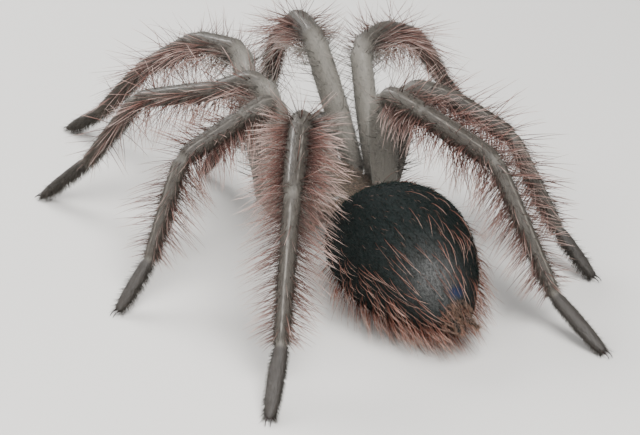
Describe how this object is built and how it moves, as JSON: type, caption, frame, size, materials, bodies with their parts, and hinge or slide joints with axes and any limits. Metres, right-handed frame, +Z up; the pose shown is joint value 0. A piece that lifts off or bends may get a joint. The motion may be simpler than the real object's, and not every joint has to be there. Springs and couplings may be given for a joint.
{
  "type": "goliath birdeater spider",
  "caption": "Life-size still model of a large tarantula crouching on the floor, its knees drawn up high round its back and its heavy abdomen held low behind.",
  "frame": {"origin": "centre of the bounding box's bottom face, on the floor under the spider", "axes": "+Z up, the head looks along -Y, the spider's left side is +X"},
  "size_m": [0.1382, 0.1806, 0.0583],
  "materials": {
    "leg_coat": "short grey-brown velvet with long pinkish-brown bristles",
    "abdomen_coat": "black velvet with a dull blue-green sheen and long orange-brown bristles",
    "shell": "dark brown shell under short grey-brown hair",
    "horn": "polished black horn"
  },
  "bodies": {
    "root": {"carapace": "shell", "sternum": "shell", "pedicel": "shell", "chelicera_left": "shell", "chelicera_right": "shell", "eye_mound": "horn", "fang_left": "horn", "fang_right": "horn", "palp_upper_left": "leg_coat", "palp_lower_left": "leg_coat", "spinneret_left": "abdomen_coat", "coxa_left_1": "leg_coat", "femur_left_1": "leg_coat", "shin_left_1": "leg_coat", "foot_left_1": "leg_coat", "coxa_left_2": "leg_coat", "femur_left_2": "leg_coat", "shin_left_2": "leg_coat", "foot_left_2": "leg_coat", "coxa_left_3": "leg_coat", "femur_left_3": "leg_coat", "shin_left_3": "leg_coat", "foot_left_3": "leg_coat", "coxa_left_4": "leg_coat", "femur_left_4": "leg_coat", "shin_left_4": "leg_coat", "foot_left_4": "leg_coat", "palp_upper_right": "leg_coat", "palp_lower_right": "leg_coat", "spinneret_right": "abdomen_coat", "coxa_right_1": "leg_coat", "femur_right_1": "leg_coat", "shin_right_1": "leg_coat", "foot_right_1": "leg_coat", "coxa_right_2": "leg_coat", "femur_right_2": "leg_coat", "shin_right_2": "leg_coat", "foot_right_2": "leg_coat", "coxa_right_3": "leg_coat", "femur_right_3": "leg_coat", "shin_right_3": "leg_coat", "foot_right_3": "leg_coat", "coxa_right_4": "leg_coat", "femur_right_4": "leg_coat", "shin_right_4": "leg_coat", "foot_right_4": "leg_coat", "abdomen": "abdomen_coat"}
  },
  "joints": []
}
